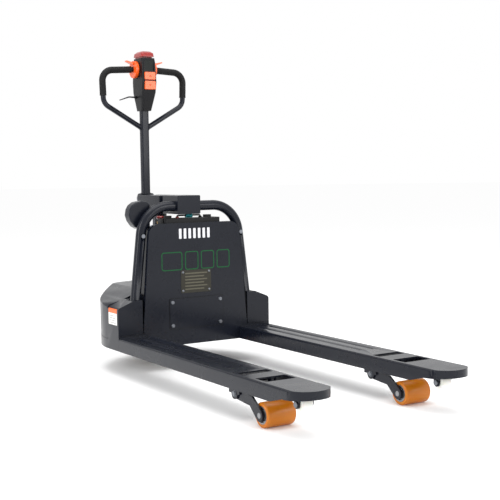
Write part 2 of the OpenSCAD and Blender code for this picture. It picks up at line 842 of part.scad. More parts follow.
// Plate of the drive unit: bearing seat, pump mounts and the linkage anchors.
module drive_bracket() {
    lug_y = anchor_y + rocker_t / 2 + 4;
    in_frame() color(charcoal) {
        difference() {
            union() {
                translate([steer_x, 0, bracket_z]) cylinder(h = bracket_t, r = race_r + 20);
                translate([steer_x, -race_r - 20, bracket_z]) cube([200, 2 * race_r + 40, bracket_t]);
                translate([-206, -190, bracket_z]) cube([100, 380, bracket_t]);
            }
            translate([steer_x, 0, bracket_z - 1]) cylinder(h = bracket_t + 2, r = race_r);
        }
        for (s = [-1, 1]) {
            translate([anchor_x - 13, s * lug_y - (s < 0 ? 8 : 0), shaft_z - 14])
                cube([26, 8, bracket_z - shaft_z + 14]);
            pin_y(anchor_x, s * (anchor_y + 1), shaft_z, 7, rocker_t + 12);
        }
    }
}

module bearing_race() {
    in_frame() color(steel) translate([steer_x, 0, bracket_z - 1]) difference() {
        cylinder(h = bracket_t + 2, r = race_r);
        translate([0, 0, -1]) cylinder(h = bracket_t + 4, r = bore_r);
    }
}

module pump_unit() {
    z = bracket_z - pump_r - 4;
    in_frame() color(black_plastic) {
        pin_y(ram_x, 132, z, pump_r, 84);
        pin_y(ram_x, 182, z, 30, 16);
        translate([ram_x - 20, 92, z]) cube([40, 80, bracket_z - z]);
    }
}

module oil_tank() {
    in_frame() color([0.8, 0.8, 0.78]) {
        translate([ram_x, -136, bracket_z - 100]) linear_extrude(100) round_rect(-42, -50, 42, 50, 10);
    }
}

// Low-friction blocks that slide on the back of the battery box.
module guide_pads() {
    in_frame() color([0.85, 0.83, 0.72]) for (y = [-170, 140])
        translate([-106, y, bracket_z]) cube([106 - box_depth - 0.4, 30, 60]);
}

// ---------------------------------------------------------------- steered drive unit

module turntable() {
    side_y = drive_wheel_w / 2 + 6;
    in_frame() color(charcoal) translate([steer_x, 0, 0]) {
        translate([0, 0, table_z]) cylinder(h = table_t, r = 100);
        translate([0, 0, table_z + table_t]) cylinder(h = bracket_t + 6, r = bore_r - run_fit);
        difference() {
            translate([0, -side_y - 6, 0]) across_y(12) union() {
                translate([0, axle_z]) circle(32);
                translate([-32, axle_z]) square([64, table_z - axle_z]);
            }
            pin_y(0, -side_y - 6, axle_z, 15 + run_fit, 14);
        }
    }
}

module gearbox() {
    side_y = drive_wheel_w / 2 + 6;
    in_frame() color(steel) translate([steer_x, 0, 0]) difference() {
        union() {
            pin_y(0, side_y + 22, axle_z, 52, 44);
            translate([-52, side_y, axle_z]) cube([104, 44, table_z - axle_z]);
        }
        pin_y(0, side_y + 14, axle_z, 15 + run_fit, 44);
    }
}

module drive_hub() {
    side_y = drive_wheel_w / 2 + 6;
    in_frame() color(steel) translate([steer_x, 0, axle_z]) rotate([90, 0, 0]) difference() {
        union() {
            cylinder(h = drive_wheel_w, r = axle_z - 20, center = true, $fn = 96);
            translate([0, 0, -side_y - 30]) cylinder(h = 2 * side_y + 42, r = 15);
        }
        for (s = [-1, 1]) translate([0, 0, s * drive_wheel_w / 2]) difference() {
            cylinder(h = 24, r = axle_z - 32, center = true);
            cylinder(h = 26, r = 32, center = true);
        }
    }
}

module drive_tyre() {
    r = axle_z;
    half = drive_wheel_w / 2;
    in_frame() color(amber) translate([steer_x, 0, axle_z]) rotate([90, 0, 0]) rotate_extrude($fn = 128)
        polygon([[r - 20, -half], [r - 4, -half], [r, -half + 5], [r, half - 5], [r - 4, half], [r - 20, half]]);
}

module wheel_nuts() {
    in_frame() color(zinc) translate([steer_x, -drive_wheel_w / 2, axle_z]) rotate([90, 0, 0])
        for (i = [0:4]) rotate([0, 0, 72 * i]) translate([24, 0, 0]) cylinder(h = 4.5, r = 6.5, $fn = 6);
}

module drive_motor() {
    in_frame() color(black_plastic) translate([steer_x, 0, motor_z]) {
        cylinder(h = motor_h, r = motor_r - 5);
        for (z = [8:16:motor_h - 12]) translate([0, 0, z]) cylinder(h = 6, r = motor_r);
        translate([0, 0, motor_h]) cylinder(h = 26, r = 46);
    }
}

module steer_column() {
    z0 = motor_z + motor_h + 26;
    in_frame() color(charcoal) translate([steer_x, 0, z0]) difference() {
        union() {
            cylinder(h = block_z0 - z0, r = column_r);
            cylinder(h = 8, r = 44);
        }
        translate([0, 0, -1]) cylinder(h = block_z0 - z0 + 2, r = column_r - 6);
    }
}

// Arm on the steering column that carries the tiller's hinge.
module steer_head() {
    in_frame() color(charcoal) difference() {
        union() {
            across_y(2 * block_half - 4)
                polygon([[-block_front - 3, block_z0 + 4], [steer_x + 50, block_z0], [steer_x - 50, block_z0],
                         [tiller_x + 40, block_z0 + 22],
                         [tiller_x + 26, lid_z0], [-block_front - 3, lid_z0]]);
            for (s = [-1, 1]) translate([0, s * (ear_in + ear_out) / 2, 0]) across_y(ear_out - ear_in)
                union() {
                translate([tiller_x, hinge_height]) circle(22);
                polygon([[tiller_x - 22, hinge_height], [tiller_x - 8, block_z0 + 22], [tiller_x + 50, block_z0 + 22],
                         [tiller_x + 50, lid_z0], [tiller_x + 22, hinge_height]]);
            }
        }
        // Channel for the gas spring, and room for the tiller's crank
        translate([-block_front - 470, -12, hinge_height - crank - 14]) cube([400, 24, 60]);
        pin_y(tiller_x, 0, hinge_height, 8, 2 * ear_out + 4);
    }
}

module head_lid() {
    x1 = -block_front;
    x0 = tiller_x + 30;
    in_frame() color(charcoal) difference() {
        translate([0, 0, lid_z0]) linear_extrude(lid_z1 - lid_z0)
            round_rect(x0, -block_half, x1, block_half, 5);
        translate([0, 0, lid_z0 - 1]) linear_extrude(lid_z1 - lid_z0 - 2)
            round_rect(x0 + 3, -block_half + 3, x1 - 3, block_half - 3, 3);
        translate([x0 - 1, -ear_out - 1, lid_z0 - 1]) cube([30, 2 * ear_out + 2, 60]);
    }
}

module tiller_pin() {
    in_frame() color(zinc) {
        pin_y(tiller_x, 0, hinge_height, 8, 2 * ear_out);
        for (s = [-1, 1]) pin_y(tiller_x, s * (ear_out + 3), hinge_height, 12, 6);
    }
}

gas_z = hinge_height - crank;
gas_x0 = tiller_x + 60;

module gas_spring_body() {
    in_frame() color(black_plastic) difference() {
        pin_x(gas_x0, 0, gas_z, 10, -block_front - 70 - gas_x0);
        pin_x(gas_x0 - 1, 0, gas_z, 5 + run_fit, 90);
    }
}

module gas_spring_rod() {
    in_frame() color(zinc) {
        pin_x(tiller_x + 14, 0, gas_z, 5, 90);
        pin_x(tiller_x + 14, 0, gas_z, 8, 8);
    }
}

// ---------------------------------------------------------------- tiller

module tiller_shaft() {
    z0 = hinge_height + 20;
    half_w = shaft_w / 2;
    half_d = shaft_d / 2;
    in_frame() color(charcoal) translate([tiller_x, 0, 0]) difference() {
        union() {
            translate([0, 0, z0]) linear_extrude(head_z0 + 60 - z0)
                round_rect(-half_d, -half_w, half_d, half_w, 7);
            pin_y(0, 0, hinge_height, 18, shaft_w + 2);
            translate([-half_d, -half_w - 1, hinge_height]) cube([shaft_d, shaft_w + 2, 24]);
            across_y(20) polygon([[-9, hinge_height], [-9, gas_z - 2], [-3, gas_z - 8], [6, gas_z - 8],
                                  [9, gas_z - 4], [9, hinge_height]]);
        }
        pin_y(0, 0, hinge_height, 8 + run_fit, shaft_w + 4);
        translate([0, 0, z0 + 20]) linear_extrude(600)
            round_rect(-half_d + 3, -half_w + 3, half_d - 3, half_w - 3, 4);
    }
}

// Centre line of the left half of the loop in (Y, Z), from the weld to the level middle.
function half_loop() = [[shaft_w / 2 - 9, weld_z - 3], [loop_half - 4, loop_low_z],
                        [loop_half, bar_height - bar_droop], [level_half, bar_height]];
function loop_path() = concat(half_loop(), [for (i = [3:-1:0]) [-half_loop()[i][0], half_loop()[i][1]]]);
loop_bends = [loop_bend, loop_bend, level_bend, level_bend, loop_bend, loop_bend];

module handle_loop() {
    in_frame() color(charcoal) translate([tiller_x, 0, 0]) rotate([90, 0, 90]) difference() {
        bent_bar(loop_path(), loop_bends, loop_d / 2);
        bent_bar(loop_path(), loop_bends, loop_d / 2 - 2.5);
        translate([-shaft_w / 2, weld_z - 40, -shaft_d]) cube([shaft_w, 80, 2 * shaft_d]);
    }
}

// Rubber sleeves from beside the head round the corners and down the sides.
module hand_grips() {
    start_y = level_half + 8;
    slope = bar_droop / (loop_half - level_half);
    corner = [loop_half, bar_height - bar_droop];
    side = [-4 / (corner[1] - loop_low_z), -1];
    in_frame() color(black_plastic) translate([tiller_x, 0, 0]) rotate([90, 0, 90])
        for (m = [0, 1]) mirror([m, 0, 0]) difference() {
            bent_bar([[start_y, bar_height - slope * (start_y - level_half)], corner, corner + 105 * side],
                     [loop_bend], grip_r);
            bent_bar([[start_y - 2, bar_height - slope * (start_y - 2 - level_half)], corner, corner + 107 * side],
                     [loop_bend], loop_d / 2 + collar_rise);
        }
}

// One level of the control head's outer shape.
module head_level(z, back, front, half) {
    translate([0, 0, z]) linear_extrude(1) round_rect(tiller_x - back, -half, tiller_x + front, half, 9);
}

// Outer shape of the control head, smaller by the given inset.
module head_shape(inset) {
    hull() {
        head_level(head_z0 + inset, 26 - inset, 30 - inset, 23 - inset);
        head_level(bar_height - 100, 40 - inset, 58 - inset, 32 - inset);
        head_level(bar_height - 54, head_rear_reach - inset, face_out + 2 - inset, head_half - inset);
    }
    hull() {
        head_level(bar_height - 54, head_rear_reach - inset, face_out + 2 - inset, head_half - inset);
        head_level(bar_height + 26 - inset, 34 - inset, face_out - 4 - inset, 32 - inset);
        head_level(head_z1 - inset, 26 - inset, face_out - 16 - inset, 29 - inset);
    }
}

// Everything that is cut out of the two head shells.
module head_cuts() {
    head_shape(3);
    translate([tiller_x, 0, head_z0 - 2]) linear_extrude(30)
        round_rect(-shaft_d / 2 - 0.3, -shaft_w / 2 - 0.3, shaft_d / 2 + 0.3, shaft_w / 2 + 0.3, 7);
    pin_y(tiller_x, 0, bar_height, 15.5, 100);
    button_hole(bar_height - 30, 16);
    button_hole(bar_height - 69, 18);
    translate([tiller_x + face_out - 20, -20, bar_height - 8]) cube([40, 40, 44]);
    translate([tiller_x - 20, -60, lever_z - 5]) cube([20, 40, 10]);
    pin_x(tiller_x - 23.3, lever_pin_y, lever_z, 1.3 + run_fit, 24.6);
    translate([tiller_x - 60, -60, head_z1 - 22]) cube([200, 120, 40]);
}

module button_hole(z, half) {
    translate([tiller_x + face_out - 30, -25.5, z - half - 0.5]) cube([60, 51, 2 * half + 1]);
}

module head_front() {
    in_frame() color(black_plastic) intersection() {
        difference() {
            head_shape(0);
            head_cuts();
        }
        translate([split_x, -100, head_z0 - 1]) cube([200, 200, 400]);
    }
}

module head_rear() {
    in_frame() color(black_plastic) intersection() {
        difference() {
            head_shape(0);
            head_cuts();
        }
        translate([split_x - 200, -100, head_z0 - 1]) cube([200, 200, 400]);
    }
}

module display_window() {
    in_frame() color([0.05, 0.12, 0.10]) translate([tiller_x + face_out - 13, -20, bar_height - 8])
        cube([7, 40, 44]);
}

// Lift button; both buttons stand a little out of the head's face.
module square_button(z, half) {
    in_frame() color(safety_orange) translate([tiller_x + face_out - 10, 0, 0]) along_x(15)
        round_rect(-24.8, z - half + 0.2, 24.8, z + half - 0.2, 4);
}

module raise_button() {
    square_button(bar_height - 30, 16);
}

module lower_button() {
    square_button(bar_height - 69, 18);
}

// Cap on the end of the head that reverses the truck when it is pressed.
module reverse_button() {
    z0 = head_z1 - 16;
    in_frame() color([0.35, 0.06, 0.06]) {
        hull() {
            head_level(z0, 33, face_out - 12, 30);
            head_level(z0 + 14, 31, face_out - 15, 28.5);
            head_level(z0 + 22, 20, face_out - 26, 20);
        }
        translate([tiller_x - 24, -24, z0 - 12]) cube([62, 48, 13]);
    }
}

// Twin thumb paddles on a sleeve that turns on the handlebar.
module throttle() {
    in_frame() color(safety_orange) difference() {
        union() {
            pin_y(tiller_x, 0, bar_height, loop_d / 2 + throttle_gap + throttle_wall, 2 * head_half + 4);
            for (s = [-1, 1]) {
                pin_y(tiller_x, s * (head_half + 9), bar_height, throttle_r, 14);
                hull() {
                    translate([tiller_x + 2, s * (head_half + 4), bar_height + 20])
                        cube([24, 2, 12], center = true);
                    translate([tiller_x + 8, s * (head_half + 50), bar_height + 33])
                        cube([18, 2, 5], center = true);
                }
            }
        }
        pin_y(tiller_x, 0, bar_height, loop_d / 2 + throttle_gap, 160);
    }
}

// Curved hand lever on the right side of the head.
module finger_lever() {
    z = lever_z;
    in_frame() color(black_plastic) {
        pin_x(tiller_x - 23, lever_pin_y, z, 1.3, 24);
        hull() {
            translate([tiller_x - 18, -30, z - 3]) cube([14, 2, 7]);
            translate([tiller_x - 16, -66, z - 1]) cube([11, 2, 5]);
        }
        hull() {
            translate([tiller_x - 16, -66, z - 1]) cube([11, 2, 5]);
            translate([tiller_x - 14, -108, z - 14]) cube([8, 2, 3]);
        }
        translate([tiller_x - 18, -30, z - 3]) cube([14, 8, 7]);
    }
}

drive_bracket();
bearing_race();
lift_cylinder();
pump_unit();
oil_tank();
guide_pads();
turntable();
drive_motor();
gearbox();
steer_column();
steer_head();
head_lid();
tiller_pin();
gas_spring_body();
gas_spring_rod();
drive_hub();
drive_tyre();
wheel_nuts();
tiller_shaft();
handle_loop();
hand_grips();
head_front();
head_rear();
display_window();
throttle();
raise_button();
lower_button();
reverse_button();
finger_lever();
left_fork();
right_fork();
carriage_frame();
front_panel();
battery_box();
battery();
access_cover();
rating_plate();
panel_fasteners();
guard_hoop();
body_cover();
console_plate();
stop_base();
charger_pod();
switch_housing();
lift_yoke();
lift_rod();
fork_pins();
hydraulic_line();
stop_knob();
torsion_shaft();
left_push_rod();
right_push_rod();
left_load_arm();
right_load_arm();
left_roller_tyre();
right_roller_tyre();
left_roller_hub();
right_roller_hub();
left_entry_roller();
right_entry_roller();
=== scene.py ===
"""Looks of a walk-behind electric pallet truck: finishes, rounded edges, labels, grips, welds and leads."""

import json
import logging
import math
from dataclasses import dataclass, field
from enum import Enum
from typing import Callable, Sequence

import bmesh
import bpy
from mathutils import Matrix, Vector, noise

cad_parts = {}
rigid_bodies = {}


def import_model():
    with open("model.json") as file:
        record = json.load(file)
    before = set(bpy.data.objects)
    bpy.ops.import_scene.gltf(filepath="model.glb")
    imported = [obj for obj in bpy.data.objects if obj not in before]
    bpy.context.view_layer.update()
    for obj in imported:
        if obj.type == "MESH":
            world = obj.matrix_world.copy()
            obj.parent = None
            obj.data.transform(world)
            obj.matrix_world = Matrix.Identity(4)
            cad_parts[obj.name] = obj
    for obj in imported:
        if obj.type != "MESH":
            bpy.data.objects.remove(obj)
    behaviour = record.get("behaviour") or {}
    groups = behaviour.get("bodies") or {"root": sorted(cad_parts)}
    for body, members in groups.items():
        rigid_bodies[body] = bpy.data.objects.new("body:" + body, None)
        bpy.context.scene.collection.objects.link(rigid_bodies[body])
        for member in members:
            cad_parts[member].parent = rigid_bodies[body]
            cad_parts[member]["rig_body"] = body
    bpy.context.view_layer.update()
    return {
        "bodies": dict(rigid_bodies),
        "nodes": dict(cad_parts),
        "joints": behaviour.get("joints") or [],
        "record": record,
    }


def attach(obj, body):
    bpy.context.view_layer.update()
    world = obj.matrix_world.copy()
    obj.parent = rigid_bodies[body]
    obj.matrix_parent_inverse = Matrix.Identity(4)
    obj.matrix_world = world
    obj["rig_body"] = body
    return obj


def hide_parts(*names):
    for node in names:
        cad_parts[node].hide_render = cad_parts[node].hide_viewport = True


log = logging.getLogger("pallet_truck")
logging.basicConfig(level=logging.INFO, format="%(name)s: %(message)s")

MM = 0.001
Point = tuple[float, float, float]
Path3 = list[Vector]
Outline = list[tuple[float, float]]

# Where the load face lies along X in the row frame
FACE_X = -0.370
TILLER_X = FACE_X - 0.438
BAR_Z = 1.221
HOOP_X = FACE_X - 0.038
# Edges sharper than this, in degrees, are broken
EDGE_ANGLE = 38.0
# How far a print starts below its face, so that no gap shows
PRINT_SINK = 0.0002
# Where the leads run on the battery's lid
LEAD_X = FACE_X - 0.052
LID_Z = 0.600


class Side(Enum):
    """The truck's two sides, as the sign of Y."""

    LEFT = 1
    RIGHT = -1


class Grain(Enum):
    """How a surface was made, which sets the pattern that its finish draws."""

    SPRAYED = "sprayed"
    MOULDED = "moulded"
    TURNED = "turned"
    PLATED = "plated"


# ------------------------------------------------------------------ finishes


def linear(hex_colour: str) -> tuple[float, float, float, float]:
    """Turns an sRGB hex colour into linear RGBA.

    Args:
        hex_colour: Six hex digits, with or without a leading hash.

    Returns:
        Linear red, green, blue and an alpha of 1.
    """
    digits = hex_colour.lstrip("#")
    values = [int(digits[i : i + 2], 16) / 255 for i in (0, 2, 4)]
    red, green, blue = (v / 12.92 if v <= 0.04045 else ((v + 0.055) / 1.055) ** 2.4 for v in values)
    return red, green, blue, 1.0


def add_node(
    tree: bpy.types.NodeTree, kind: str, settings: dict | None = None, links: dict | None = None
) -> bpy.types.Node:
    """Adds a shader node with its settings and its incoming links.

    Args:
        tree: The node tree to add to.
        kind: The node's type name without the "ShaderNode" prefix.
        settings: Attributes by name, and socket values by socket name or number.
        links: Output sockets by the name or number of the input they feed.

    Returns:
        The new node.
    """
    made = tree.nodes.new("ShaderNode" + kind)
    for key, value in (settings or {}).items():
        if isinstance(key, int) or key in made.inputs:
            made.inputs[key].default_value = value
        else:
            setattr(made, key, value)
    for key, source in (links or {}).items():
        tree.links.new(source, made.inputs[key])
    return made


@dataclass(frozen=True)
class Decal:
    """A flat printed patch on a painted side, given as a box in the row frame, in metres."""

    low: Point
    high: Point
    colour: str


@dataclass(frozen=True)
class Finish:
    """One real material with the way its surface was made."""

    name: str
    colour: str
    roughness: float
    metallic: float = 0.0
    coat: float = 0.0
    grain: Grain = Grain.MOULDED
    grain_mm: float = 1.0
    grain_depth_mm: float = 0.03
    mottle: float = 0.10
    ior: float = 1.5
    specular: float = 0.5
    subsurface: float = 0.0
    decals: tuple[Decal, ...] = field(default=())

    def build(self) -> bpy.types.Material:
        """Builds the finish as a material.

        Returns:
            A new material with its own node tree.
        """
        material = bpy.data.materials.new(self.name)
        material.use_nodes = True
        tree = material.node_tree
        tree.nodes.clear()
        place = add_node(tree, "TexCoord").outputs["Object"]
        fine = self._fine_pattern(tree, place)
        cloud = add_node(tree, "TexNoise", {"Scale": 14.0, "Detail": 5.0, "Roughness": 0.6}, {"Vector": place})
        colour = self._base_colour(tree, place, cloud.outputs["Fac"])
        wear = add_node(
            tree,
            "MapRange",
            {
                "From Min": 0.3,
                "From Max": 0.7,
                "To Min": self.roughness * 0.86,
                "To Max": min(1.0, self.roughness * 1.16),
            },
            {"Value": cloud.outputs["Fac"]},
        )
        bump = add_node(
            tree,
            "Bump",
            {"Strength": 1.0, "Distance": self.grain_depth_mm * MM},
            {"Height": fine},
        )
        shader = add_node(
            tree,
            "BsdfPrincipled",
            {
                "Metallic": self.metallic,
                "Coat Weight": self.coat,
                "Coat Roughness": 0.12,
                "IOR": self.ior,
                "Specular IOR Level": self.specular,
                "Subsurface Weight": self.subsurface,
                "Subsurface Scale": 0.004,
            },
            {"Base Color": colour, "Roughness": wear.outputs["Result"], "Normal": bump.outputs["Normal"]},
        )
        add_node(tree, "OutputMaterial", None, {"Surface": shader.outputs["BSDF"]})
        return material

    def _fine_pattern(self, tree: bpy.types.NodeTree, place: bpy.types.NodeSocket) -> bpy.types.NodeSocket:
        """Draws the fine relief that the making leaves.

        Args:
            tree: The material's node tree.
            place: The object coordinates, in metres.

        Returns:
            A height from 0 to 1.
        """
        per_metre = 1000.0 / self.grain_mm
        if self.grain is Grain.TURNED:
            scale = (per_metre, per_metre * 0.04, per_metre)
            stretched = add_node(tree, "Mapping", {"Scale": scale}, {"Vector": place}).outputs["Vector"]
            return add_node(tree, "TexNoise", {"Scale": 1.0, "Detail": 3.0}, {"Vector": stretched}).outputs["Fac"]
        if self.grain is Grain.MOULDED:
            cells = add_node(tree, "TexVoronoi", {"Scale": per_metre, "feature": "SMOOTH_F1"}, {"Vector": place})
            return cells.outputs["Distance"]
        detail = 1.0 if self.grain is Grain.SPRAYED else 3.0
        return add_node(tree, "TexNoise", {"Scale": per_metre, "Detail": detail}, {"Vector": place}).outputs["Fac"]

    def _base_colour(
        self, tree: bpy.types.NodeTree, place: bpy.types.NodeSocket, cloud: bpy.types.NodeSocket
    ) -> bpy.types.NodeSocket:
        """Mixes the base colour with a faint mottle and any printed patches.

        Args:
            tree: The material's node tree.
            place: The object coordinates, in metres.
            cloud: A slow noise from 0 to 1.

        Returns:
            The colour socket.
        """
        channels = linear(self.colour)[:3]
        dark = (*(c * (1 - self.mottle) for c in channels), 1.0)
        pale = (*(min(1.0, c * (1 + self.mottle)) for c in channels), 1.0)
        socket = add_node(tree, "Mix", {"data_type": "RGBA", 6: dark, 7: pale}, {0: cloud}).outputs[2]
        for decal in self.decals:
            mask = self._inside(tree, place, decal)
            print_colour = {"data_type": "RGBA", 7: linear(decal.colour)}
            socket = add_node(tree, "Mix", print_colour, {0: mask, 6: socket}).outputs[2]
        return socket

    @staticmethod
    def _inside(tree: bpy.types.NodeTree, place: bpy.types.NodeSocket, decal: Decal) -> bpy.types.NodeSocket:
        """Makes a mask that is 1 inside a decal's box and 0 outside it."""
        parts = add_node(tree, "SeparateXYZ", None, {0: place})
        mask = None
        for axis in range(3):
            for limit, operation in ((decal.low[axis], "GREATER_THAN"), (decal.high[axis], "LESS_THAN")):
                test = add_node(tree, "Math", {"operation": operation, 1: limit}, {0: parts.outputs[axis]}).outputs[0]
                if mask is not None:
                    test = add_node(tree, "Math", {"operation": "MULTIPLY"}, {0: mask, 1: test}).outputs[0]
                mask = test
        return mask


def side_label() -> tuple[Decal, ...]:
    """Printed caution patch on both sides of the rear cover: an orange head over a white field with grey bars."""
    patches: list[Decal] = []
    for low_y, high_y in ((-0.350, -0.340), (0.340, 0.350)):
        x0, x1 = FACE_X - 0.088, FACE_X - 0.012
        patches.append(Decal((x0, low_y, 0.198), (x1, high_y, 0.266), "E9E7E2"))
        patches.append(Decal((x0, low_y, 0.243), (x1, high_y, 0.266), "E4672A"))
        for row in range(4):
            z = 0.204 + 0.009 * row
            bar_end = x1 - 0.010 - 0.008 * (row % 2)
            patches.append(Decal((x0 + 0.006, low_y, z), (bar_end, high_y, z + 0.003), "8A8A88"))
    return tuple(patches)


# Powder-coated steel: a satin gloss with slight orange peel, so long highlights break up a little.
POWDER_COAT = Finish("powder_coated_steel", "11141D", 0.28, coat=0.14, specular=0.18, grain=Grain.SPRAYED,
                     grain_mm=2.2,
                     grain_depth_mm=0.010)
# The rear cover has the same coat over pressed sheet, and carries the printed patches.
COVER_COAT = Finish("powder_coated_cover", "11141D", 0.30, coat=0.14, specular=0.18, grain=Grain.SPRAYED,
                    grain_mm=2.6,
                    grain_depth_mm=0.012, decals=side_label())
# Turned steel: fine rings left by the tool, which stretch the highlight.
TURNED_STEEL = Finish("turned_steel", "8F9092", 0.34, metallic=1.0, grain=Grain.TURNED, grain_mm=0.6,
                      grain_depth_mm=0.02)
# Zinc plate gone dull: a soft grey shine.
ZINC = Finish("zinc_plated_steel", "74777D", 0.42, metallic=1.0, grain=Grain.PLATED, grain_mm=1.5,
              grain_depth_mm=0.01)
# Cast polyurethane: amber, waxy, and lit a little from inside.
POLYURETHANE = Finish("cast_polyurethane", "BC6C0E", 0.34, coat=0.08, specular=0.3, grain_mm=1.2,
                      subsurface=0.15, mottle=0.14)
# Moulded ABS: black with a fine spark-eroded grain.
BLACK_ABS = Finish("moulded_black_abs", "0C0C0F", 0.38, specular=0.22, grain_mm=0.9, grain_depth_mm=0.04, mottle=0.12)
# Moulded rubber: black and dull.
GRIP_RUBBER = Finish("moulded_grip_rubber", "0D0D0E", 0.66, specular=0.25, grain_mm=0.8, grain_depth_mm=0.06,
                     mottle=0.15)
# Moulded orange ABS with a satin polish.
ORANGE_ABS = Finish("moulded_orange_abs", "EC5A18", 0.30, coat=0.25, grain_mm=1.1, grain_depth_mm=0.015, mottle=0.05)
# Moulded red ABS, darker and glossier.
RED_ABS = Finish("moulded_red_abs", "8A1712", 0.26, coat=0.3, grain_mm=1.1, grain_depth_mm=0.015, mottle=0.08)
# Tinted acrylic: a smooth window, nearly black with a little green in it.
TINTED_ACRYLIC = Finish("tinted_acrylic", "060D0B", 0.22, specular=0.12, grain=Grain.PLATED, grain_mm=6.0,
                        grain_depth_mm=0.004,
                        ior=1.49)
# Moulded yellow ABS under the stop knob.
YELLOW_ABS = Finish("moulded_yellow_abs", "D9A514", 0.36, grain_mm=1.1, mottle=0.07)
# Machined nylon: milky white with faint tool rings.
NYLON = Finish("machined_nylon", "E6E5DF", 0.40, grain=Grain.TURNED, grain_mm=0.9, subsurface=0.1, mottle=0.05)
# Blow-moulded polyethylene: cloudy, so the tank looks half filled with light.
TANK_POLYETHYLENE = Finish("blow_moulded_polyethylene", "CFCBB8", 0.45, grain_mm=3.0, subsurface=0.2, mottle=0.06)
# Etched aluminium: dull brown-grey with a brushed run.
ETCHED_ALUMINIUM = Finish("etched_aluminium", "2E2C24", 0.5, metallic=0.5, grain=Grain.TURNED, grain_mm=0.5,
                          grain_depth_mm=0.02)
# The same plate where the etch is shallow, so it is paler.
PALE_ETCH = Finish("shallow_etched_aluminium", "5A574A", 0.5, metallic=0.5, grain=Grain.TURNED, grain_mm=0.5,
                   grain_depth_mm=0.02)
# Screen-printed ink: flat and even, a little rough.
WHITE_INK = Finish("white_screen_ink", "D6D6DA", 0.5, grain=Grain.PLATED, grain_mm=0.8, mottle=0.03)
GREEN_INK = Finish("green_screen_ink", "0B5228", 0.5, specular=0.2, grain=Grain.PLATED, grain_mm=0.8, mottle=0.05)
ORANGE_INK = Finish("orange_screen_ink", "B8430F", 0.45, grain=Grain.PLATED, grain_mm=0.8, mottle=0.05)
# Moulded connector shell and the sleeve of its lead.
TEAL_NYLON = Finish("moulded_teal_nylon", "1F8E96", 0.42, grain_mm=0.8, mottle=0.07)
LEAD_SLEEVE = Finish("pvc_lead_sleeve", "1B1B1C", 0.5, grain_mm=0.7, mottle=0.1)
# Weld metal under the coat: the same colour, with a rippled run.
COATED_WELD = Finish("coated_weld_bead", "11141D", 0.34, coat=0.14, specular=0.18, grain=Grain.SPRAYED,
                     grain_mm=1.6, grain_depth_mm=0.08)

SLOT_FINISH: dict[str, Finish] = {
    "painted_steel": POWDER_COAT,
    "cover_plastic": COVER_COAT,
    "bare_steel": TURNED_STEEL,
    "zinc_plated": ZINC,
    "polyurethane": POLYURETHANE,
    "black_plastic": BLACK_ABS,
    "grip_rubber": GRIP_RUBBER,
    "orange_plastic": ORANGE_ABS,
    "red_plastic": RED_ABS,
    "display_lens": TINTED_ACRYLIC,
    "yellow_plastic": YELLOW_ABS,
    "white_nylon": NYLON,
    "clear_tank": TANK_POLYETHYLENE,
    "plate_aluminium": ETCHED_ALUMINIUM,
}


class PaintShop:
    """Builds each finish once and puts it on pieces."""

    def __init__(self) -> None:
        """Starts with no material built."""
        self.made: dict[str, bpy.types.Material] = {}

    def coat(self, obj: bpy.types.Object, finish: Finish) -> None:
        """Gives a piece one finish.

        Args:
            obj: The mesh object.
            finish: The finish it gets.
        """
        if finish.name not in self.made:
            self.made[finish.name] = finish.build()
        obj.data.materials.clear()
        obj.data.materials.append(self.made[finish.name])


# ------------------------------------------------------------------ shape helpers


def mesh_object(name: str, vertices: Sequence[Sequence[float]], faces: Sequence[Sequence[int]]) -> bpy.types.Object:
    """Makes a mesh object from points and faces, with its normals outwards.

    Args:
        name: The object's name.
        vertices: Points in the row frame, in metres.
        faces: Corner numbers of each face.

    Returns:
        The linked object.
    """
    data = bpy.data.meshes.new(name)
    data.from_pydata([tuple(v) for v in vertices], [], [tuple(f) for f in faces])
    edit = bmesh.new()
    edit.from_mesh(data)
    bmesh.ops.recalc_face_normals(edit, faces=edit.faces)
    edit.to_mesh(data)
    edit.free()
    obj = bpy.data.objects.new(name, data)
    bpy.context.scene.collection.objects.link(obj)
    return obj


def smooth_by_angle(obj: bpy.types.Object, degrees: float = 35.0) -> None:
    """Shades a mesh smooth, and keeps edges sharper than the angle crisp.

    Args:
        obj: The mesh object.
        degrees: The angle above which an edge stays crisp.
    """
    obj.data.shade_smooth()
    obj.data.set_sharp_from_angle(angle=math.radians(degrees))


def swept_tube(name: str, path: Path3, radius: Callable[[int], float], sides: int = 20) -> bpy.types.Object:
    """Sweeps a round section along a path, with closed ends.

    Args:
        name: The object's name.
        path: Centre points in the row frame.
        radius: The radius at each point number, in metres.
        sides: Corners of the section.

    Returns:
        The tube.
    """
    vertices: list[Vector] = []
    normal = (path[1] - path[0]).orthogonal().normalized()
    last = len(path) - 1
    for i, point in enumerate(path):
        along = (path[min(i + 1, last)] - path[max(i - 1, 0)]).normalized()
        normal = (normal - along * normal.dot(along)).normalized()
        across = along.cross(normal)
        for k in range(sides):
            turn = 2 * math.pi * k / sides
            vertices.append(point + (normal * math.cos(turn) + across * math.sin(turn)) * radius(i))
    faces = [
        (i * sides + k, i * sides + (k + 1) % sides, (i + 1) * sides + (k + 1) % sides, (i + 1) * sides + k)
        for i in range(last)
        for k in range(sides)
    ]
    faces += [tuple(range(sides)), tuple(last * sides + k for k in range(sides))]
    obj = mesh_object(name, vertices, faces)
    smooth_by_angle(obj, 50)
    return obj


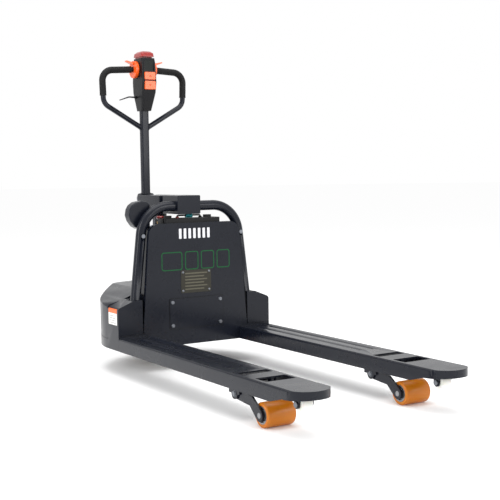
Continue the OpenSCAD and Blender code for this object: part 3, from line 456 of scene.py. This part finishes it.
def rounded_path(corners: list[Vector], bend: float, step: float) -> Path3:
    """Follows straight lines between corners, with a round bend at each inner one.

    Args:
        corners: The corner points.
        bend: The bend radius, in metres.
        step: The greatest distance between points.

    Returns:
        Points along the path.
    """
    points: Path3 = [corners[0].copy()]
    for i in range(1, len(corners) - 1):
        back = (corners[i - 1] - corners[i]).normalized()
        ahead = (corners[i + 1] - corners[i]).normalized()
        half = back.angle(ahead) / 2
        cut = bend / math.tan(half)
        centre = corners[i] + (back + ahead).normalized() * (bend / math.sin(half))
        start = (corners[i] + back * cut - centre).normalized()
        end = (corners[i] + ahead * cut - centre).normalized()
        for k in range(17):
            points.append(centre + start.slerp(end, k / 16) * bend)
    points.append(corners[-1].copy())
    fine: Path3 = [points[0]]
    for point in points[1:]:
        gap = point - fine[-1]
        count = max(1, math.ceil(gap.length / step))
        origin = fine[-1].copy()
        fine += [origin + gap * ((k + 1) / count) for k in range(count)]
    return fine


def panel_patch(name: str, outline: Outline, x: float, rise: float) -> bpy.types.Object:
    """Makes a thin printed patch on the load face, with a bevelled rim.

    Args:
        name: The object's name.
        outline: Corners in (Y, Z), in metres.
        x: The face that it lies on.
        rise: Its thickness.

    Returns:
        The patch.
    """
    middle_y = sum(p[0] for p in outline) / len(outline)
    middle_z = sum(p[1] for p in outline) / len(outline)
    count = len(outline)
    levels = ((x - PRINT_SINK, 1.0), (x + rise * 0.6, 1.0), (x + rise, 0.985))
    vertices = [
        (level, middle_y + (y - middle_y) * s, middle_z + (z - middle_z) * s)
        for level, s in levels
        for y, z in outline
    ]
    faces = [
        (r * count + k, r * count + (k + 1) % count, (r + 1) * count + (k + 1) % count, (r + 1) * count + k)
        for r in range(2)
        for k in range(count)
    ]
    faces += [tuple(range(count)), tuple(2 * count + k for k in range(count))]
    return mesh_object(name, vertices, faces)


def flat_ring(name: str, outer: Outline, inner: Outline, x: float, rise: float) -> bpy.types.Object:
    """Makes a thin flat ring on the load face.

    Args:
        name: The object's name.
        outer: Outer corners in (Y, Z), in metres.
        inner: Inner corners, as many as the outer ones.
        x: The face that it lies on.
        rise: Its thickness.

    Returns:
        The ring.
    """
    count = len(outer)
    vertices = [(level, y, z) for level in (x - PRINT_SINK, x + rise) for ring in (outer, inner) for y, z in ring]
    faces = []
    for k in range(count):
        n = (k + 1) % count
        faces += [(2 * count + k, 2 * count + n, 3 * count + n, 3 * count + k), (k, n, count + n, count + k),
                  (k, n, 2 * count + n, 2 * count + k), (count + k, count + n, 3 * count + n, 3 * count + k)]
    return mesh_object(name, vertices, faces)


def rounded_outline(y0: float, z0: float, y1: float, z1: float, radius: float) -> Outline:
    """Corners of a rectangle in (Y, Z) with round corners."""
    points: Outline = []
    low_y, high_y, low_z, high_z = y0 + radius, y1 - radius, z0 + radius, z1 - radius
    for cy, cz, start in ((high_y, high_z, 0), (low_y, high_z, 90), (low_y, low_z, 180), (high_y, low_z, 270)):
        for k in range(6):
            turn = math.radians(start + 18 * k)
            points.append((cy + radius * math.cos(turn), cz + radius * math.sin(turn)))
    return points


def softened(shop: PaintShop, frame: dict, node: str, radius_mm: float, finish: Finish) -> bpy.types.Object:
    """Makes the finished look of a CAD node: the same shape with its hard edges broken.

    Args:
        shop: The paint shop.
        node: The CAD node that the piece stands for.
        radius_mm: The edge radius.
        finish: Its finish.

    Returns:
        The piece, riding the node's body.
    """
    source = frame["nodes"][node]
    obj = bpy.data.objects.new(node + "_finished", source.data.copy())
    bpy.context.scene.collection.objects.link(obj)
    edit = bmesh.new()
    edit.from_mesh(obj.data)
    bmesh.ops.remove_doubles(edit, verts=edit.verts, dist=2e-6)
    bmesh.ops.dissolve_limit(edit, angle_limit=math.radians(1.0), verts=edit.verts, edges=edit.edges)
    edit.to_mesh(obj.data)
    edit.free()
    if radius_mm > 0:
        bevel = obj.modifiers.new("broken_edges", "BEVEL")
        bevel.width = radius_mm * MM
        bevel.segments = 2
        bevel.limit_method = "ANGLE"
        bevel.angle_limit = math.radians(EDGE_ANGLE)
        bevel.use_clamp_overlap = True
        bevel.harden_normals = True
    smooth_by_angle(obj, 42)
    shop.coat(obj, finish)
    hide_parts(node)
    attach(obj, source["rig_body"])
    return obj


def slot_of(frame: dict, node: str) -> str:
    """Gives the record's material slot of a CAD node."""
    return next(s["material_slot"] for s in frame["record"]["subparts"] if s["node"] == node)


def fit(shop: PaintShop, obj: bpy.types.Object, body: str, finish: Finish) -> None:
    """Paints a made piece and lets it ride a body."""
    shop.coat(obj, finish)
    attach(obj, body)


def weld_bead(name: str, path: Path3, radius: float) -> bpy.types.Object:
    """Sweeps a rippled weld bead along a path, with a ripple every 3 mm."""

    def size(i: int) -> float:
        """Radius of the bead at a point number."""
        return radius * (1 + 0.16 * math.sin(i * 1.9) + 0.10 * noise.noise(path[i] * 220))

    return swept_tube(name, path, size, 10)


# ------------------------------------------------------------------ sub-assemblies


@dataclass
class SubAssembly:
    """A group of pieces that one class builds."""

    shop: PaintShop
    frame: dict
    edges_mm: dict[str, float] = field(default_factory=dict)

    def dress_nodes(self) -> int:
        """Rounds and paints the CAD nodes of this group.

        Returns:
            How many nodes were dressed.
        """
        for node, radius in self.edges_mm.items():
            softened(self.shop, self.frame, node, radius, SLOT_FINISH[slot_of(self.frame, node)])
        return len(self.edges_mm)

    def build(self) -> int:
        """Builds the whole group and gives the number of its pieces."""
        return self.dress_nodes()


@dataclass
class ForksAndRollers(SubAssembly):
    """The forks, load arms, rollers and push rods."""

    edges_mm: dict[str, float] = field(default_factory=lambda: {
        "left_fork": 0.8, "right_fork": 0.8, "left_load_arm": 0.8, "right_load_arm": 0.8,
        "left_roller_tyre": 1.6, "right_roller_tyre": 1.6, "left_roller_hub": 0.6, "right_roller_hub": 0.6,
        "left_entry_roller": 1.2, "right_entry_roller": 1.2, "left_push_rod": 0.8, "right_push_rod": 0.8,
        "fork_pins": 0.6, "torsion_shaft": 0.8, "carriage_frame": 1.0,
    })


@dataclass
class BatteryBay(SubAssembly):
    """The folded panel with its prints, the battery, its leads and the guard hoop."""

    edges_mm: dict[str, float] = field(default_factory=lambda: {
        "front_panel": 1.2, "access_cover": 0.8, "rating_plate": 0.4, "panel_fasteners": 0.4, "battery_box": 0.8,
        "battery": 1.6, "guard_hoop": 0.0, "switch_housing": 1.5, "console_plate": 0.8, "stop_base": 0.8,
        "stop_knob": 1.0,
        "charger_pod": 5.0, "hydraulic_line": 0.0,
    })
    motif_z: tuple[float, float] = (0.396, 0.469)
    print_z: tuple[float, float] = (0.520, 0.560)
    ink_rise: float = 0.0003
    line_w: float = 0.0036
    cover_y: tuple[float, float] = (-0.120, 0.120)
    cover_z: tuple[float, float] = (0.166, 0.284)
    # Width of the dark ring of painted shade round the access cover
    shadow_gap_w: float = 0.0022

    def build(self) -> int:
        """Builds the bay and gives the number of its pieces."""
        count = self.dress_nodes()
        count += self._motif()
        count += self._dashes()
        count += self._plate_lines()
        count += self._paint_cover_shadow_gap()
        count += self._leads()
        return count + self._hoop_welds()

    def _motif(self) -> int:
        """Green outlined lozenges in a row: a plain pattern with no letters."""
        z0, z1 = self.motif_z
        made = 0
        for i, width in enumerate((0.092, 0.060, 0.060, 0.060)):
            y0 = -0.152 + (0, 0.104, 0.176, 0.248)[i]
            outer = rounded_outline(y0, z0, y0 + width, z1, 0.010)
            line = self.line_w
            inner = rounded_outline(y0 + line, z0 + line, y0 + width - line, z1 - line, 0.007)
            outline = flat_ring(f"green_outline_{i}", outer, inner, FACE_X, self.ink_rise)
            fit(self.shop, outline, "lift", GREEN_INK)
            made += 1
        return made

    def _paint_cover_shadow_gap(self) -> int:
        """Painted shade: a dark ring where the access cover meets the panel, standing in for the shadow in the gap
        between them.
        """
        (y0, y1), (z0, z1) = self.cover_y, self.cover_z
        outer = rounded_outline(y0 - self.shadow_gap_w, z0 - self.shadow_gap_w, y1 + self.shadow_gap_w, z1 + self.shadow_gap_w, 0.004)
        inner = rounded_outline(y0, z0, y1, z1, 0.003)
        shadow_gap_ring = flat_ring("cover_painted_shadow_gap", outer, inner, FACE_X, self.ink_rise)
        # The black ring is painted shade for the shadow gap round the access cover, not a real part
        fit(self.shop, shadow_gap_ring, "lift", BLACK_ABS)
        return 1

    def _dashes(self) -> int:
        """White dashes above the motif."""
        z0, z1 = self.print_z
        for i in range(7):
            y = -0.073 + i * 0.0212
            outline = rounded_outline(y, z0, y + 0.0115, z1, 0.002)
            patch = panel_patch(f"white_dash_{i}", outline, FACE_X, self.ink_rise)
            fit(self.shop, patch, "lift", WHITE_INK)
        return 7

    def _plate_lines(self) -> int:
        """Blank ruled fields on the data plate."""
        for i in range(6):
            z = 0.316 + 0.0125 * i
            width = 0.100 if i % 2 else 0.086
            patch = panel_patch(f"plate_field_{i}", rounded_outline(-0.050, z, -0.050 + width, z + 0.005, 0.0012),
                                FACE_X + 0.0015, self.ink_rise)
            fit(self.shop, patch, "lift", PALE_ETCH)
        return 6

    def _leads(self) -> int:
        """Battery terminals, their leads and a connector on the battery's lid."""
        for i, y in enumerate((-0.052, 0.052)):
            start = Vector((LEAD_X, y, LID_Z - 0.001))
            corners = [start, start + Vector((0, 0, 0.011)), Vector((LEAD_X, y * 0.25, LID_Z + 0.010))]
            lead = swept_tube(f"battery_lead_{i}", rounded_path(corners, 0.005, 0.002), lambda _: 0.0035, 14)
            fit(self.shop, lead, "lift", LEAD_SLEEVE)
            boot = [start + Vector((0, 0, 0.001 * k)) for k in range(0, 8)]
            sizes = (0.0075, 0.0078, 0.0078, 0.0076, 0.0072, 0.0066, 0.0060, 0.0050)
            fit(self.shop, swept_tube(f"terminal_boot_{i}", boot, lambda k: sizes[k], 18), "lift",
                RED_ABS if y < 0 else BLACK_ABS)
        ends = [Vector((LEAD_X, y, LID_Z + 0.008)) for y in (-0.015, 0.015)]
        shell_path = rounded_path(ends, 0.001, 0.003)
        shell = swept_tube("battery_connector", shell_path, lambda k: 0.0075 if k % 3 else 0.0082, 6)
        fit(self.shop, shell, "lift", TEAL_NYLON)
        return 5

    def _hoop_welds(self) -> int:
        """Weld beads round the hoop's feet."""
        for side in Side:
            foot = Vector((HOOP_X, side.value * 0.2618, 0.1895))
            ring = [foot + Vector((0.0205 * math.cos(t), 0.0210 * math.sin(t), 0)) for t in
                    (2 * math.pi * k / 60 for k in range(61))]
            bead = weld_bead(f"hoop_foot_weld_{side.name.lower()}", ring, 0.0022)
            fit(self.shop, bead, "lift", COATED_WELD)
        return 2


@dataclass
class RearCover(SubAssembly):
    """The rounded cover over the drive unit."""

    edges_mm: dict[str, float] = field(default_factory=lambda: {"body_cover": 2.5})


@dataclass
class DriveUnit(SubAssembly):
    """The steered wheel, its motor, the ram and the steering head."""

    edges_mm: dict[str, float] = field(default_factory=lambda: {
        "drive_bracket": 1.0, "bearing_race": 0.6, "lift_cylinder": 1.0, "pump_unit": 1.2, "oil_tank": 3.0,
        "guide_pads": 1.0,
        "turntable": 1.0, "drive_motor": 0.8, "gearbox": 2.0, "steer_column": 0.8, "steer_head": 1.5, "head_lid": 1.8,
        "tiller_pin": 0.8, "gas_spring_body": 0.8, "gas_spring_rod": 0.4, "drive_hub": 1.0, "drive_tyre": 1.5,
        "wheel_nuts": 0.5, "lift_yoke": 1.0, "lift_rod": 0.6,
    })


@dataclass
class Tiller(SubAssembly):
    """The tiller shaft, the handle loop and the control head."""

    edges_mm: dict[str, float] = field(default_factory=lambda: {
        "tiller_shaft": 1.2, "handle_loop": 0.0, "head_front": 0.6, "head_rear": 0.6, "display_window": 0.6,
        "throttle": 1.8,
        "raise_button": 1.8, "lower_button": 1.8, "reverse_button": 0.8, "finger_lever": 1.2,
    })
    loop_half: float = 0.191
    level_half: float = 0.050
    grip_radius: float = 0.0145
    rib_pitch: float = 0.005

    def build(self) -> int:
        """Builds the tiller and gives the number of its pieces."""
        return self.dress_nodes() + self._grips() + self._loop_welds() + self._button_marks()

    def _grips(self) -> int:
        """Ribbed rubber sleeves, with a bead at each end."""
        corner_z = BAR_Z - 0.008
        slope = 0.008 / (self.loop_half - self.level_half)
        drop = 0.105
        for i, side in enumerate(Side):
            start_y = self.level_half + 0.008
            start = Vector((TILLER_X, side.value * start_y, BAR_Z - slope * 0.008))
            corner = Vector((TILLER_X, side.value * self.loop_half, corner_z))
            lean = 0.004 / (corner_z - (BAR_Z - 0.146))
            foot = Vector((TILLER_X, side.value * (self.loop_half - lean * drop), corner_z - drop))
            path = rounded_path([start, corner, foot], 0.046, 0.00125)
            last = len(path) - 1

            def size(k: int) -> float:
                """Radius of the sleeve at a point number: ribs between two end beads."""
                if k < 4 or k > last - 4:
                    return self.grip_radius
                return self.grip_radius - 0.0006 - 0.0005 * math.cos(2 * math.pi * k / 4)

            sleeve = swept_tube(f"ribbed_grip_{side.name.lower()}", path, size, 24)
            fit(self.shop, sleeve, "tiller", GRIP_RUBBER)
            if i == 0:
                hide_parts("hand_grips")
        return 2

    def _loop_welds(self) -> int:
        """Weld beads where the loop meets the shaft."""
        for side in Side:
            centre = Vector((TILLER_X, side.value * 0.0183, BAR_Z - 0.2438))
            ring = [centre + Vector((math.cos(t) * 0.0113, 0, math.sin(t) * 0.0130)) for t in
                    (2 * math.pi * k / 48 for k in range(49))]
            bead = weld_bead(f"loop_weld_{side.name.lower()}", ring, 0.0018)
            fit(self.shop, bead, "tiller", COATED_WELD)
        return 2

    def _button_marks(self) -> int:
        """A plain arrowhead on each button: up on the upper one, down on the lower one."""
        face = TILLER_X + 0.064 - 0.010 + 0.015
        marks = (("raise_mark", "raise_key", BAR_Z - 0.030, 1), ("lower_mark", "lower_key", BAR_Z - 0.069, -1))
        for name, body, z, way in marks:
            outline = [(-0.006, z - 0.004 * way), (0.006, z - 0.004 * way), (0.0, z + 0.005 * way)]
            fit(self.shop, panel_patch(name, outline, face, 0.0002), body, ORANGE_INK)
        return 2


# ------------------------------------------------------------------ studio


@dataclass
class Studio:
    """A pale floor, soft light and the camera."""

    camera_at: Point = (3.2388, -1.9751, 0.7758)
    yaw: float = 148.289
    pitch: float = 4.268
    roll: float = -0.830
    lens: float = 74.55
    floor_reach: float = 60.0

    def camera(self) -> None:
        """Places the camera."""
        yaw, pitch, roll = (math.radians(v) for v in (self.yaw, self.pitch, self.roll))
        ahead = Vector((math.cos(yaw) * math.cos(pitch), math.sin(yaw) * math.cos(pitch), -math.sin(pitch)))
        right = ahead.cross(Vector((0, 0, 1))).normalized()
        up = right.cross(ahead)
        turned_right = right * math.cos(roll) + up * math.sin(roll)
        turned_up = up * math.cos(roll) - right * math.sin(roll)
        data = bpy.data.cameras.new("studio_camera")
        data.lens, data.sensor_width = self.lens, 36.0
        data.clip_end = 100
        obj = bpy.data.objects.new("studio_camera", data)
        turn = Matrix((turned_right, turned_up, -ahead)).transposed().to_4x4()
        obj.matrix_world = Matrix.Translation(self.camera_at) @ turn
        bpy.context.scene.collection.objects.link(obj)
        bpy.context.scene.camera = obj

    def floor(self) -> None:
        """Lays a flat pale floor that reaches far behind the truck, all round."""
        rings, spokes = 40, 96
        vertices = [(0.0, 0.0, 0.0)]
        for i in range(1, rings + 1):
            reach = self.floor_reach * (i / rings) ** 2
            for k in range(spokes):
                turn = 2 * math.pi * k / spokes
                vertices.append((reach * math.cos(turn), reach * math.sin(turn), 0.0))
        faces = [(0, 1 + k, 1 + (k + 1) % spokes) for k in range(spokes)]
        for i in range(rings - 1):
            a, b = 1 + i * spokes, 1 + (i + 1) * spokes
            faces += [(a + k, b + k, b + (k + 1) % spokes, a + (k + 1) % spokes) for k in range(spokes)]
        floor = mesh_object("pale_floor", vertices, faces)
        material = bpy.data.materials.new("pale_matt_floor")
        material.use_nodes = True
        shader = material.node_tree.nodes["Principled BSDF"]
        shader.inputs["Base Color"].default_value = linear("FDFDFD")
        shader.inputs["Roughness"].default_value = 0.9
        shader.inputs["Specular IOR Level"].default_value = 0.0
        floor.data.materials.append(material)

    def light(self, name: str, place: Point, aim: Point, size: tuple[float, float], watts: float) -> None:
        """Hangs one soft box.

        Args:
            name: The lamp's name.
            place: Where it hangs.
            aim: The point that it faces.
            size: Its width and height.
            watts: Its power.
        """
        data = bpy.data.lights.new(name, "AREA")
        data.shape, data.size, data.size_y, data.energy = "RECTANGLE", size[0], size[1], watts
        obj = bpy.data.objects.new(name, data)
        obj.location = place
        obj.rotation_euler = (Vector(aim) - Vector(place)).to_track_quat("-Z", "Y").to_euler()
        bpy.context.scene.collection.objects.link(obj)

    def build(self) -> None:
        """Sets up the whole studio."""
        self.camera()
        self.floor()
        world = bpy.data.worlds.new("studio_world")
        world.use_nodes = True
        background = world.node_tree.nodes["Background"]
        background.inputs["Color"].default_value = (1, 1, 1, 1)
        background.inputs["Strength"].default_value = 1.0
        bpy.context.scene.world = world
        bpy.context.scene.view_settings.view_transform = "Standard"
        self.light("overhead_box", (0.2, -0.2, 3.6), (0, 0, 0.2), (3.4, 3.0), 90)
        self.light("front_box", (3.4, 1.6, 1.8), (-0.3, 0, 0.4), (1.6, 2.0), 45)
        self.light("side_strip", (0.2, -3.2, 1.7), (-0.3, 0, 0.4), (0.8, 2.2), 40)


def main() -> None:
    """Builds the truck's looks and reports each group."""
    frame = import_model()
    Studio().build()
    shop = PaintShop()
    for kind in (DriveUnit, RearCover, BatteryBay, ForksAndRollers, Tiller):
        log.info("%s: %d pieces", kind.__name__, kind(shop, frame).build())


if __name__ == "__main__":
    main()
